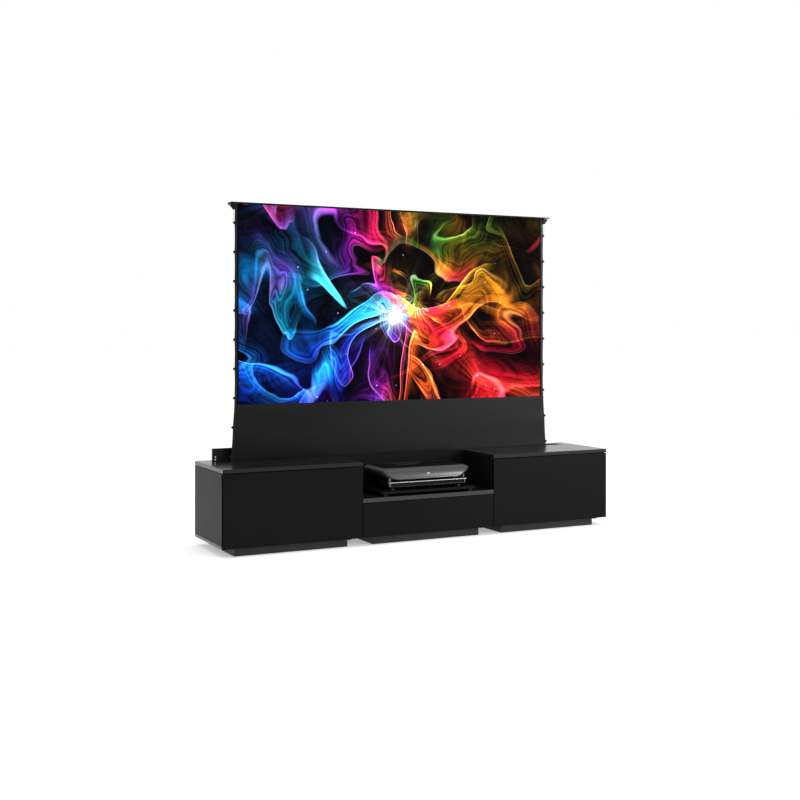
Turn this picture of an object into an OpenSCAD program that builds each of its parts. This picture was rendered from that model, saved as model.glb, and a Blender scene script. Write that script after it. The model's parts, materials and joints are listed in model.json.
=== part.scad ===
// Home projection unit: a low console that holds an ultra-short-throw projector on a
// sliding tray and a tab-tensioned screen that rises out of a slot in its top.
// Origin: floor level, centre of the footprint. +X right, +Y back, +Z up. Millimetres.

/* [Console] */
// Overall width
console_w = 2710; // [2700:2:2760]
// Overall depth
console_d = 536; // [532:1:548]
// Height of the top surface
console_h = 514; // [510:1:540]
// Width of the open middle bay
middle_w = 926; // [920:1:940]
// Board thickness of carcass and fronts
board = 18; // [16:1:19]
// Thickness of the two top boards
top_t = 23; // [20:1:28]
// Shadow gap between top board and flap
shadow_gap = 5; // [3:1:8]
// Height of the shelf surface in the bay
shelf_top = 291; // [285:1:293]
// Shelf thickness
shelf_t = 26; // [22:1:28]
// Back panel thickness
back_t = 12; // [8:1:14]

/* [Plinths] */
// Plinth height
plinth_h = 50; // [48:1:54]
// Setback of each plinth behind the fronts
plinth_recess = 47; // [46:1:60]
// Inset of each plinth from the sides of its section
plinth_inset = 85; // [60:1:100]

/* [Slot in the top] */
// Front edge of the slot, behind the centre
slot_front_y = 132; // [128:1:133]
// Slot depth front to back
slot_d = 75; // [75:1:77]
// Half the slot length
slot_end_x = 1265; // [1260:1:1280]

/* [Screen] */
// Half the fabric width beside the picture
fabric_half_w = 1133; // [1120:1:1138]
// Half the fabric width at the roller
fabric_foot_half_w = 1158; // [1150:1:1160]
// Plane of the fabric, behind the centre
fabric_y = 169; // [168:1:170]
// Height of the top of the raised screen
screen_top = 2105; // [2103:1:2107]
// Height where the skirt starts to widen
skirt_z = 905; // [880:1:950]
// Height step from tab to tab
tab_pitch = 180; // [175:1:182]

/* [Lift arms] */
// Pivot to pivot length of each link
arm_l = 870; // [869:1:871]
// Angle of the lower links from level, screen raised
arm_angle = 80; // [79.8:0.1:80.1]
// Distance of the base pivots from the middle
arm_x = 940; // [936:1:944]
// Height of the base pivots
arm_z = 330; // [328:1:332]
// Width of each link
arm_w = 40; // [36:1:42]

/* [Projector] */
// Width of the lower housing
housing_w = 546; // [540:2:550]
// Widest part of the top cover
cover_w = 622; // [616:2:624]
// Front of the projector
proj_front_y = -246; // [-250:1:-240]
// Back of the projector
proj_back_y = 84; // [80:1:90]
// Underside of the housing
housing_z = 335; // [335:1:337]
// Top of the cover
cover_top = 457; // [456:1:462]

/* [Hidden] */
$fn = 48;

eps = 1;

// Console planes
half_w = console_w / 2;
half_d = console_d / 2;
split_x = middle_w / 2;
front_y = -half_d;
carcass_y = front_y + board + 2;
deck_z = plinth_h + board;
top_z = console_h - top_t;
slot_back_y = slot_front_y + slot_d;
wall_y = slot_front_y - board;
shelf_z = shelf_top - shelf_t;
panel_y = half_d - back_t;
groove_h = 4;
groove_d = 3;

// Cable outlets: places in the back panel and in the bay's back wall
outlet_r = 25;
outlet_flange_r = 36;
outlet_hole_r = 30;
flange_t = 2;
back_outlets = [-900, 0, 900];
back_outlet_z = 120;
bay_outlets = [-395, 395];
bay_outlet_z = 345;

// Flap hinges: pin axis below the carcass edge, three hinges to a flap
hinge_y = carcass_y - 1;
hinge_z = plinth_h - 3;
knuckle_r = 2.6;
hinge_pin_r = 1.3;
running_gap = 0.05;
hinge_half = 32;
knuckle_half = 11.5;
leaf_t = 1.5;
section_mid_x = (half_w + split_x) / 2;
hinge_offsets = [-340, 0, 340];

// Drawer
front_z = plinth_h + 2;
drawer_half_w = 450;
drawer_back_y = 90;
drawer_z0 = 80;
drawer_z1 = 240;
runner_z = 133;
runner_h = 29;

// Tray
tray_half_w = 330;
tray_front_y = front_y + 6;
tray_back_y = 92;
tray_z0 = shelf_top + 17;
tray_top = tray_z0 + 15;
tray_rail_x = 300;

// Projector shells
housing_front_y = proj_front_y + 6;
chamfer_h = 12;
chamfer_d = 14;
band_z = 371;
band_t = 3.5;
band_lip = 8;
deck_top = band_z + band_t;
lip_z = 390;
lip_half_w = 250;
neck_half_w = housing_w / 2 - 3;
neck_front_y = proj_front_y + 16;
neck_back_y = proj_back_y - 6;
neck_r = 10;
neck_top = 413;
rim_z = 443;
shell = 2.5;
pan_floor_z = housing_z + shell;
inlet = [24, 12, 17];
hdmi = [15, 10, 5.6];
socket_z = 346;
panel_front_y = proj_back_y - 16;
fan_x = 205;
fan_t = 25;
fan_y = -40;
fan_z = 386;
fan_half = 38;
well_half_w = 112;
well_y0 = -34;
well_y1 = 58;
button_y = -180;
button_z = 358;

// Screen
bar_h = 8;
bar_y0 = slot_front_y + 2;
bar_y1 = slot_back_y - 2;
bar_half_w = 1166;
fabric_t = 1.2;
fabric_top = screen_top - bar_h;
roller_z = 200;
roller_y = fabric_y + 26;
tube_r = 23;
roll_r = 25;
motor_r = 17;
axle_r = 8;
roller_half = 1166;
bracket_x = 1172;
bracket_t = 6;
first_tab_z = 539;
tab_count = 9;

// Lift
link_t = 12;
lower_y = 178;
upper_y = lower_y + link_t + 2;
base_pin_r = 9;
elbow_pin_r = 8;
top_pin_r = 7;
open_gap = 0.6;
elbow_x = arm_x - arm_l * cos(arm_angle);
elbow_z = arm_z + arm_l * sin(arm_angle);
head_z = arm_z + 2 * arm_l * sin(arm_angle);

module block(low, high) {
    translate(low) cube(high - low);
}

module both_sides() {
    children();
    mirror([1, 0, 0]) children();
}

// A cylinder along +X or +Y, from the given point
module rod_x(at, length, r) {
    translate(at) rotate([0, 90, 0]) cylinder(h = length, r = r);
}

module rod_y(at, length, r) {
    translate(at) rotate([-90, 0, 0]) cylinder(h = length, r = r);
}

// A slab with rounded vertical corners between two heights
module slab(half_x, y0, y1, r, z0, z1) {
    translate([0, 0, z0]) linear_extrude(z1 - z0) {
        translate([-half_x + r, y0]) square([2 * (half_x - r), y1 - y0]);
        translate([-half_x, y0 + r]) square([2 * half_x, y1 - y0 - 2 * r]);
        for (x = [-half_x + r, half_x - r], y = [y0 + r, y1 - r])
            translate([x, y]) circle(r);
    }
}

// ---- Console carcass ----

module top_board() {
    difference() {
        block([split_x, front_y, top_z], [half_w, half_d, console_h]);
        block([split_x - eps, slot_front_y, top_z - eps], [slot_end_x, half_d + eps, console_h + eps]);
    }
}

module left_top_board() {
    color([0.2, 0.2, 0.21]) mirror([1, 0, 0]) top_board();
}

module right_top_board() {
    color([0.22, 0.22, 0.23]) top_board();
}

module rear_top_rail() {
    color([0.15, 0.15, 0.16])
        block([-slot_end_x, slot_back_y, top_z], [slot_end_x, half_d, console_h]);
}

// Side panel with a shallow groove along its top and bottom edges
module outer_side() {
    difference() {
        block([half_w - board, carcass_y, deck_z], [half_w, half_d, top_z]);
        block([half_w - groove_d, carcass_y - eps, top_z - groove_h], [half_w + eps, half_d + eps, top_z + eps]);
        block([half_w - groove_d, carcass_y - eps, deck_z - eps], [half_w + eps, half_d + eps, deck_z + 2]);
    }
}

module left_outer_side() {
    color([0.17, 0.17, 0.18]) mirror([1, 0, 0]) outer_side();
}

module right_outer_side() {
    color([0.17, 0.17, 0.18]) outer_side();
}

module inner_sides() {
    color([0.07, 0.07, 0.08]) both_sides()
        block([split_x, carcass_y, deck_z], [split_x + board, wall_y, top_z]);
}

module bottom_board() {
    block([split_x, carcass_y, plinth_h], [half_w, half_d, deck_z]);
}

module left_bottom_board() {
    color([0.14, 0.14, 0.15]) mirror([1, 0, 0]) bottom_board();
}

module middle_bottom_board() {
    color([0.1, 0.1, 0.11])
        block([-split_x, carcass_y, plinth_h], [split_x, half_d, deck_z]);
}

module right_bottom_board() {
    color([0.14, 0.14, 0.15]) bottom_board();
}

// A frame of four boards on edge
module plinth(x0, x1) {
    y0 = front_y + plinth_recess;
    y1 = half_d - plinth_recess;
    difference() {
        block([x0, y0, 0], [x1, y1, plinth_h]);
        block([x0 + board, y0 + board, -eps], [x1 - board, y1 - board, plinth_h + eps]);
    }
}

module left_plinth() {
    color([0.12, 0.12, 0.13]) plinth(-half_w + plinth_inset, -split_x - plinth_inset);
}

module middle_plinth() {
    color([0.12, 0.12, 0.13]) plinth(-split_x + plinth_inset, split_x - plinth_inset);
}

module right_plinth() {
    color([0.12, 0.12, 0.13]) plinth(split_x + plinth_inset, half_w - plinth_inset);
}

module bay_shelf() {
    color([0.18, 0.18, 0.19])
        block([-split_x, front_y, shelf_z], [split_x, wall_y, shelf_top]);
}

module bay_back_wall() {
    color([0.06, 0.06, 0.07]) difference() {
        block([-split_x, wall_y, deck_z], [split_x, slot_front_y, console_h]);
        for (x = bay_outlets) rod_y([x, wall_y - eps, bay_outlet_z], board + 2 * eps, outlet_hole_r);
    }
}

module screen_walls() {
    color([0.1, 0.1, 0.11]) both_sides()
        block([split_x, wall_y, deck_z], [half_w - board, slot_front_y, top_z]);
}

module back_panel() {
    color([0.12, 0.12, 0.13]) difference() {
        block([-half_w + board, panel_y, deck_z], [half_w - board, half_d, top_z]);
        for (x = back_outlets) {
            rod_y([x, panel_y - eps, back_outlet_z], back_t + 2 * eps, outlet_hole_r);
            rod_y([x, half_d - flange_t, back_outlet_z], flange_t + eps, outlet_flange_r);
        }
    }
}

// A flanged ring lining a cable outlet, its flange at the far end
module grommet(x, y, z, length) {
    difference() {
        union() {
            rod_y([x, y, z], length, outlet_hole_r);
            rod_y([x, y + length - flange_t, z], flange_t, outlet_flange_r);
        }
        rod_y([x, y - eps, z], length + 2 * eps, outlet_r);
    }
}

module cable_grommets() {
    color([0.05, 0.05, 0.05]) {
        for (x = back_outlets) grommet(x, panel_y, back_outlet_z, back_t);
        for (x = bay_outlets) grommet(x, wall_y, bay_outlet_z, board + flange_t);
    }
}

// ---- Flaps and their hinges ----

module flap() {
    block([split_x + 1.5, front_y, front_z], [half_w - 1.5, front_y + board, top_z - shadow_gap]);
}

// Fixed half of one hinge: leaf under the carcass, two end knuckles, pin
module fixed_leaf() {
    leaf_y = hinge_y + knuckle_r + 2;
    block([-hinge_half, leaf_y, plinth_h - leaf_t],
        [hinge_half, front_y + plinth_recess - 1, plinth_h]);
    for (x0 = [-hinge_half, knuckle_half + 0.5]) {
        rod_x([x0, hinge_y, hinge_z], hinge_half - knuckle_half - 0.5, knuckle_r);
        block([x0, hinge_y, hinge_z], [x0 + hinge_half - knuckle_half - 0.5, leaf_y, plinth_h]);
    }
    rod_x([-hinge_half, hinge_y, hinge_z], 2 * hinge_half, hinge_pin_r);
}

// Moving half of one hinge: leaf under the flap's edge, middle knuckle
module moving_leaf() {
    leaf_y = hinge_y - knuckle_r - 2;
    difference() {
        union() {
            block([-hinge_half, front_y + 2, front_z - leaf_t], [hinge_half, leaf_y, front_z]);
            rod_x([-knuckle_half, hinge_y, hinge_z], 2 * knuckle_half, knuckle_r);
            block([-knuckle_half, leaf_y, hinge_z], [knuckle_half, hinge_y, front_z]);
        }
        rod_x([-knuckle_half - eps, hinge_y, hinge_z], 2 * (knuckle_half + eps),
            hinge_pin_r + running_gap);
    }
}

module moving_leaves() {
    for (x = hinge_offsets) translate([section_mid_x + x, 0, 0]) moving_leaf();
}

module flap_hinge_leaves() {
    color("silver") both_sides()
        for (x = hinge_offsets) translate([section_mid_x + x, 0, 0]) fixed_leaf();
}

module left_flap() {
    color([0.1, 0.1, 0.11]) mirror([1, 0, 0]) flap();
}

module left_flap_leaves() {
    color("silver") mirror([1, 0, 0]) moving_leaves();
}

module right_flap() {
    color([0.12, 0.12, 0.13]) flap();
}

module right_flap_leaves() {
    color("silver") moving_leaves();
}

// ---- Drawer and tray ----

module drawer_front() {
    color([0.11, 0.11, 0.12])
        block([-split_x + 1.5, front_y, front_z], [split_x - 1.5, front_y + board, shelf_z - 4]);
}

module drawer_box() {
    wall = 12;
    floor_t = 8;
    y0 = front_y + board;
    color([0.2, 0.2, 0.2]) difference() {
        block([-drawer_half_w, y0, drawer_z0], [drawer_half_w, drawer_back_y, drawer_z1]);
        block([-drawer_half_w + wall, y0 + wall, drawer_z0 + floor_t],
            [drawer_half_w - wall, drawer_back_y - wall, drawer_z1 + eps]);
    }
}

module drawer_runners() {
    color("silver") both_sides()
        block([drawer_half_w, carcass_y + 2, runner_z], [split_x - 3, drawer_back_y, runner_z + runner_h]);
}

// Channels for the drawer on the bay's sides, and ribs for the tray on the shelf
module fixed_runners() {
    y0 = carcass_y + 2;
    y1 = wall_y - 4;
    sheet = 1.5;
    low = runner_z - 2 * sheet;
    high = runner_z + runner_h + 2 * sheet;
    color("silver") both_sides() {
        block([split_x - sheet, y0, low], [split_x, y1, high]);
        block([drawer_half_w + 2, y0, low], [split_x, y1, low + sheet]);
        block([drawer_half_w + 2, y0, high - sheet], [split_x, y1, high]);
        block([tray_rail_x - 15, y0, shelf_top], [tray_rail_x + 15, y1, shelf_top + 2]);
        block([tray_rail_x - 1.5, y0, shelf_top], [tray_rail_x + 1.5, y1, tray_z0 - 4]);
    }
}

module tray_board() {
    color([0.08, 0.08, 0.09])
        slab(tray_half_w, tray_front_y, tray_back_y, 12, tray_z0, tray_top);
}

module tray_runners() {
    y0 = tray_front_y + 12;
    color("silver") both_sides() difference() {
        block([tray_rail_x - 9, y0, shelf_top + 4], [tray_rail_x + 9, tray_back_y - 4, tray_z0]);
        block([tray_rail_x - 6, y0 - eps, shelf_top + 3],
            [tray_rail_x + 6, tray_back_y, tray_z0 - 2]);
    }
}

// ---- Projector ----

module projector_base_pan() {
    half = housing_w / 2;
    chamfer_z = housing_z + chamfer_h;
    color([0.05, 0.05, 0.06]) difference() {
        union() {
            hull($fn = 32) {
                slab(half - chamfer_d, housing_front_y + chamfer_d, proj_back_y, 8, housing_z, housing_z + 1);
                slab(half, housing_front_y, proj_back_y, 10, chamfer_z, chamfer_z + 1);
            }
            slab(half, housing_front_y, proj_back_y, 10, chamfer_z, band_z);
        }
        slab(half - chamfer_d - shell, housing_front_y + chamfer_d + shell, proj_back_y - shell, 7,
            pan_floor_z, chamfer_z + 2);
        slab(half - shell, housing_front_y + shell, proj_back_y - shell, 8, chamfer_z + 1, band_z + eps);
        block([-150, panel_front_y - eps, housing_z + 5], [150, proj_back_y + eps, band_z + eps]);
        rod_x([half - shell - eps, button_y, button_z], shell + 2 * eps, 6.4);
        for (s = [-1, 1], i = [0:4])
            block([s * (half - 1) - 3, -80 + 24 * i, chamfer_z + 4],
                [s * (half - 1) + 3, -64 + 24 * i, band_z - 6]);
    }
}

module projector_trim_band() {
    half = housing_w / 2;
    color([0.75, 0.75, 0.77]) difference() {
        slab(half + band_lip, housing_front_y - band_lip, proj_back_y, 16, band_z, deck_top);
        slab(half - 4, housing_front_y + 4, proj_back_y - 4, 8, band_z - eps, deck_top + eps);
    }
}

// Deck over the housing and the recessed neck with its louvres, under the cover
module projector_grille() {
    color([0.04, 0.04, 0.045]) difference() {
        union() {
            slab(housing_w / 2 - 1, housing_front_y + 1, proj_back_y - 1, 10, deck_top, deck_top + shell);
            slab(neck_half_w, neck_front_y, neck_back_y, neck_r, deck_top, neck_top);
        }
        slab(neck_half_w - shell, neck_front_y + shell, neck_back_y - shell, neck_r - shell,
            deck_top - eps, neck_top + eps);
        for (i = [-26:26])
            block([i * 9 - 3, neck_front_y - eps, deck_top + 5], [i * 9 + 3, neck_front_y + 4, lip_z + 4]);
        for (s = [-1, 1], i = [-4:4])
            block([s * neck_half_w - 4, fan_y + 10 * i - 3, deck_top + 7],
                [s * neck_half_w + 4, fan_y + 10 * i + 3, neck_top - 6]);
    }
}

// Outer form of the cover: a narrow lip that flares to the rim and rolls over to a flat top
module cover_form(inset) {
    r = 38;
    half = cover_w / 2 - inset;
    y0 = proj_front_y + inset;
    y1 = proj_back_y - inset;
    hull($fn = 32) {
        slab(lip_half_w - inset, y0, y1 - 12, 47, lip_z - (inset > 0 ? eps : 0), lip_z + 1);
        slab(half - 29, y0 + 1, y1 - 8, 47, lip_z + 14, lip_z + 15);
        slab(half - 3, y0 + 3, y1 - 3, 43, lip_z + 38, lip_z + 39);
        slab(half, y0 + 4, y1 - 1, 40, rim_z - 9, rim_z - 7);
        slab(half - 3, y0 + 6, y1, r, rim_z - 1, rim_z);
        slab(half - 16, y0 + 24, y1 - 3, r, cover_top - 5 - inset, cover_top - 4 - inset);
        slab(half - 26, y0 + 40, y1 - 8, r, cover_top - 1 - inset, cover_top - inset);
    }
}

module projector_top_cover() {
    color([0.3, 0.3, 0.31]) difference() {
        cover_form(0);
        cover_form(shell);
        slab(neck_half_w + 0.5, neck_front_y - 0.5, neck_back_y + 0.5, neck_r, lip_z - 2, neck_top + 1);
        block([-well_half_w, well_y0, 400], [well_half_w, well_y1, cover_top + eps]);
    }
}

module projector_rear_panel() {
    low = housing_z + 5;
    color([0.06, 0.06, 0.06]) difference() {
        block([-149, panel_front_y, low], [149, proj_back_y, band_z]);
        translate([-120, proj_back_y - inlet[1], socket_z]) cube(inlet + [0, eps, 0]);
        for (x = [-40, -14]) translate([x, proj_back_y - hdmi[1], socket_z + 5]) cube(hdmi + [0, eps, 0]);
        for (x = [50, 80]) rod_y([x, proj_back_y - hdmi[1], socket_z + 8], hdmi[1] + eps, 1.75);
    }
}

// The well in the cover that the beam leaves by, with a sloping seat for the window
module lens_bezel() {
    color([0.03, 0.03, 0.03]) difference() {
        block([-well_half_w, well_y0, 418], [well_half_w, well_y1, cover_top - 1]);
        translate([-well_half_w + 6, 0, 0]) rotate([90, 0, 90]) linear_extrude(2 * well_half_w - 12)
            polygon([[well_y0 + 5, cover_top + 5], [well_y0 + 5, 430], [well_y1 - 5, 446],
                [well_y1 - 5, cover_top + 5]]);
        translate([-70, 0, 0]) rotate([90, 0, 90]) linear_extrude(140)
            polygon([[-18, 410], [-18, 440], [40, 450], [40, 410]]);
    }
}

module lens_window() {
    slope = atan2(16, well_y1 - well_y0 - 10);
    color([0.3, 0.35, 0.4, 0.5]) translate([0, well_y0 + 12, 428.6]) rotate([slope, 0, 0])
        block([-78, 0, 2.9], [78, 72, 5.4]);
}

module projector_mirror() {
    color([0.85, 0.87, 0.9]) {
        translate([0, -30, 395]) intersection() {
            difference() {
                sphere(r = 90);
                sphere(r = 87);
            }
            block([-60, 50, -18], [60, 95, 20]);
        }
        block([-40, 46, pan_floor_z], [40, 56, 380]);
    }
}

module lens_barrel() {
    color([0.1, 0.1, 0.12]) difference() {
        union() {
            rod_y([0, -110, 388], 34, 26);
            rod_y([0, -76, 388], 30, 21);
            rod_y([0, -46, 388], 16, 24);
        }
        rod_y([0, -108, 388], 90, 15);
    }
}

module light_engine() {
    color([0.5, 0.5, 0.52]) {
        block([-85, -205, pan_floor_z], [85, -110, 402]);
        block([-60, -190, 402], [60, -125, 414]);
        block([-30, -110, pan_floor_z], [30, 20, 358]);
    }
}

module heat_sink() {
    color([0.7, 0.7, 0.72]) {
        block([100, -200, pan_floor_z], [196, -90, 344]);
        for (i = [0:15]) block([100 + 6.2 * i, -200, 344], [102 + 6.2 * i, -90, 408]);
    }
}

// One axial fan, axis along +X, with three struts to its bearing
module fan_frame() {
    difference() {
        block([0, -fan_half, pan_floor_z - fan_z], [fan_t, fan_half, fan_half]);
        rod_x([-eps, 0, 0], fan_t + 2 * eps, fan_half - 2);
    }
    difference() {
        union() {
            rod_x([0, 0, 0], 4, 11);
            for (a = [90, 210, 330]) rotate([a, 0, 0]) block([0, -2, 8], [4, 2, fan_half - 1]);
        }
        rod_x([-eps, 0, 0], 4 + 2 * eps, 2 + running_gap);
    }
}

module fan_rotor() {
    rod_x([0.5, 0, 0], 10, 2);
    rod_x([5, 0, 0], 17, 14);
    for (i = [0:6]) rotate([i * 360 / 7, 0, 0])
        translate([13.5, 0, 12]) rotate([0, 0, 35]) block([-8, -1, 0], [8, 1, fan_half - 16]);
}

module fan_frames() {
    color([0.08, 0.08, 0.08]) both_sides() translate([fan_x, fan_y, fan_z]) fan_frame();
}

module left_fan_rotor() {
    color([0.2, 0.2, 0.22]) mirror([1, 0, 0]) translate([fan_x, fan_y, fan_z]) fan_rotor();
}

module right_fan_rotor() {
    color([0.2, 0.2, 0.22]) translate([fan_x, fan_y, fan_z]) fan_rotor();
}

module main_board() {
    color([0.1, 0.35, 0.2]) {
        block([-196, -200, 346], [-96, -90, 347.6]);
        block([-170, -170, 347.6], [-140, -140, 354]);
        for (i = [0:3]) block([-130 + 8 * i, -180, 347.6], [-125 + 8 * i, -150, 352]);
        for (x = [-185, -112], y = [-192, -98]) translate([x, y, housing_z + shell])
            cylinder(h = 346 - pan_floor_z, r = 3);
    }
}

module projector_feet() {
    color([0.04, 0.04, 0.04])
        for (x = [-235, 235], y = [proj_front_y + 44, proj_back_y - 44])
            translate([x, y, tray_top]) cylinder(h = housing_z - tray_top, r = 14);
}

module power_button() {
    color([0.6, 0.6, 0.62]) {
        rod_x([housing_w / 2 - 6, button_y, button_z], 8, 6);
        rod_x([housing_w / 2 - 8, button_y, button_z], 4, 8);
    }
}

module status_window() {
    color([0.7, 0.72, 0.75]) hull($fn = 24)
        for (x = [-9, 9]) translate([x, proj_front_y + 2.4, 420]) rotate([-90, 0, 0])
            cylinder(h = 5, r = 2.4);
}

// ---- Screen: roller ----

module roller_bracket() {
    difference() {
        union() {
            block([bracket_x, roller_y - 32, deck_z], [bracket_x + bracket_t, roller_y + 32, roller_z + 32]);
            block([bracket_x, roller_y - 32, deck_z], [bracket_x + 34, roller_y + 32, deck_z + 4]);
        }
        rod_x([bracket_x - eps, roller_y, roller_z], bracket_t + 2 * eps, axle_r + running_gap);
    }
}

module roller_brackets() {
    color([0.55, 0.56, 0.58]) both_sides() roller_bracket();
}

// Tubular motor inside the left end of the roller, keyed to the left bracket
module roller_motor() {
    color([0.3, 0.3, 0.32]) {
        rod_x([-bracket_x, roller_y, roller_z], 430, motor_r);
        rod_x([-bracket_x - bracket_t - 3, roller_y, roller_z], bracket_t + 3, axle_r);
    }
}

module roller_tube() {
    color([0.7, 0.7, 0.72]) {
        difference() {
            rod_x([-roller_half, roller_y, roller_z], 2 * roller_half, tube_r);
            rod_x([-roller_half + 12, roller_y, roller_z], 2 * roller_half - 24, tube_r - 2);
            rod_x([-roller_half - eps, roller_y, roller_z], 14, motor_r + running_gap);
        }
        rod_x([roller_half, roller_y, roller_z], bracket_x + bracket_t + 3 - roller_half, axle_r);
    }
}

module fabric_roll() {
    color([0.05, 0.05, 0.05]) difference() {
        rod_x([-fabric_foot_half_w, roller_y, roller_z], 2 * fabric_foot_half_w, roll_r);
        rod_x([-fabric_foot_half_w - eps, roller_y, roller_z], 2 * (fabric_foot_half_w + eps), tube_r);
    }
}

// ---- Screen: lift arms ----

module arm_post() {
    block([arm_x - 30, panel_y - 24, deck_z], [arm_x + 30, panel_y, arm_z + 42]);
    rod_y([arm_x, lower_y + link_t + 1, arm_z], panel_y - 24 - lower_y - link_t - 1, 24);
    rod_y([arm_x, lower_y - 0.5, arm_z], link_t + 1.5, base_pin_r);
    rod_y([arm_x, lower_y - 3, arm_z], 2.5, base_pin_r + 4);
}

module arm_posts() {
    color([0.45, 0.46, 0.48]) both_sides() arm_post();
}

// A link along +X from its first pivot, in the plane starting at depth y
module link(y, first_bore, second_bore) {
    difference() {
        union() {
            block([0, y, -arm_w / 2], [arm_l, y + link_t, arm_w / 2]);
            for (x = [0, arm_l]) rod_y([x, y, 0], link_t, arm_w / 2);
        }
        rod_y([0, y - eps, 0], link_t + 2 * eps, first_bore);
        if (second_bore > 0) rod_y([arm_l, y - eps, 0], link_t + 2 * eps, second_bore);
        block([40, y + link_t - 4, -arm_w / 2 + 6], [arm_l - 40, y + link_t + eps, arm_w / 2 - 6]);
    }
}

module elbow_pin() {
    rod_y([0, lower_y + link_t - 4, 0], link_t + 6.5, elbow_pin_r);
    rod_y([0, upper_y + link_t + 0.5, 0], 1.8, elbow_pin_r + 3);
}

// Right-hand lower link: base pivot to elbow, leaning inwards
module lower_arm() {
    translate([arm_x, 0, arm_z]) rotate([0, arm_angle - 180, 0]) {
        link(lower_y, base_pin_r + running_gap, 0);
        translate([arm_l, 0, 0]) elbow_pin();
    }
}

// Right-hand upper link: elbow to the top bar's hanger, leaning outwards
module upper_arm(head_bore) {
    translate([elbow_x, 0, elbow_z]) rotate([0, -arm_angle, 0])
        link(upper_y, elbow_pin_r + running_gap, head_bore);
}

module left_lower_arm() {
    color([0.35, 0.36, 0.38]) mirror([1, 0, 0]) lower_arm();
}

module left_upper_arm() {
    color([0.35, 0.36, 0.38]) mirror([1, 0, 0]) upper_arm(top_pin_r + running_gap);
}

module right_lower_arm() {
    color([0.35, 0.36, 0.38]) lower_arm();
}

module right_upper_arm() {
    color([0.35, 0.36, 0.38]) upper_arm(top_pin_r + open_gap);
}

// ---- Screen: top bar and fabric ----

module top_bar() {
    color([0.06, 0.06, 0.07]) {
        difference() {
            block([-bar_half_w, bar_y0, screen_top - bar_h], [bar_half_w, bar_y1, screen_top]);
            block([-bar_half_w - eps, bar_y0 + 3, screen_top - bar_h - eps],
                [bar_half_w + eps, bar_y1 - 3, screen_top - 3]);
        }
        both_sides() {
            block([arm_x - 22, lower_y, head_z - 20], [arm_x + 22, lower_y + link_t, screen_top - 3]);
            rod_y([arm_x, lower_y + link_t - 2, head_z], link_t + 5, top_pin_r);
        }
    }
}

module top_bar_wing() {
    y0 = fabric_y - 9;
    foot = fabric_top - 36;
    tip = bar_half_w + 4;
    rotate([90, 0, 0]) translate([0, 0, -fabric_y - 9]) linear_extrude(18)
        polygon([[fabric_half_w - 6, fabric_top], [fabric_half_w - 6, foot], [fabric_half_w + 10, foot],
            [tip - 8, fabric_top - 12], [tip - 8, fabric_top]]);
    rod_y([tip - 4, y0, fabric_top - 6], 18, 6);
}

module top_bar_wings() {
    color([0.1, 0.1, 0.1]) both_sides() difference() {
        top_bar_wing();
        block([fabric_half_w - 10, fabric_y - 2, fabric_top - 60], [fabric_half_w + 2, fabric_y + 2, fabric_top + eps]);
    }
}

// Fabric from the roller up to the top bar, with a skirt that widens downwards
module screen_fabric() {
    color([0.02, 0.02, 0.02]) translate([0, fabric_y + fabric_t / 2, 0]) rotate([90, 0, 0])
        linear_extrude(fabric_t) polygon([
            [-fabric_foot_half_w, roller_z], [fabric_foot_half_w, roller_z],
            [fabric_foot_half_w, console_h - top_t], [fabric_half_w, skirt_z],
            [fabric_half_w, fabric_top], [-fabric_half_w, fabric_top],
            [-fabric_half_w, skirt_z], [-fabric_foot_half_w, console_h - top_t]]);
}

// Half the fabric width at a height
function edge_x(z) = z > skirt_z ? fabric_half_w
    : fabric_half_w + (fabric_foot_half_w - fabric_half_w) * (skirt_z - z) / (skirt_z - top_z);

// The tabs along both edges and the tension cord that runs through them
module edge_tabs() {
    top_tab_z = first_tab_z + tab_pitch * (tab_count - 1);
    color([0.05, 0.05, 0.05]) both_sides() {
        for (i = [0:tab_count - 1]) {
            z = first_tab_z + tab_pitch * i;
            x = edge_x(z - 9);
            block([x, fabric_y - 2.5, z - 9], [x + 11, fabric_y + 2.5, z + 9]);
        }
        translate([fabric_half_w + 8, fabric_y, top_tab_z])
            cylinder(h = fabric_top - 36 - top_tab_z, r = 1, $fn = 16);
    }
}

// Drive and control box on the rail behind the slot, with two trigger jacks
module control_box() {
    x0 = -slot_end_x + 7;
    y0 = slot_back_y + 5;
    jack_r = 1.75;
    color([0.05, 0.05, 0.05]) difference() {
        union() {
            block([x0, y0, console_h], [x0 + 218, y0 + 25, console_h + 74]);
            for (z = [6, 23]) rod_y([x0 + 14, y0 - 2, console_h + z], 3, 5);
        }
        for (z = [6, 23]) rod_y([x0 + 14, y0 - 3, console_h + z], 16, jack_r);
    }
}

left_top_board();
right_top_board();
rear_top_rail();
left_outer_side();
right_outer_side();
inner_sides();
left_bottom_board();
middle_bottom_board();
right_bottom_board();
left_plinth();
middle_plinth();
right_plinth();
bay_shelf();
bay_back_wall();
screen_walls();
back_panel();
cable_grommets();
flap_hinge_leaves();
fixed_runners();
left_flap();
left_flap_leaves();
right_flap();
right_flap_leaves();
drawer_front();
drawer_box();
drawer_runners();
tray_board();
tray_runners();
projector_base_pan();
projector_grille();
projector_trim_band();
projector_top_cover();
projector_rear_panel();
lens_bezel();
lens_window();
projector_mirror();
lens_barrel();
light_engine();
heat_sink();
fan_frames();
left_fan_rotor();
right_fan_rotor();
main_board();
projector_feet();
power_button();
status_window();
roller_brackets();
roller_motor();
roller_tube();
fabric_roll();
arm_posts();
left_lower_arm();
left_upper_arm();
right_lower_arm();
right_upper_arm();
top_bar();
top_bar_wings();
screen_fabric();
edge_tabs();
control_box();
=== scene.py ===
"""Looks of the home projection unit: low console, short-throw projector and rising screen."""

import json
import math

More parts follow.
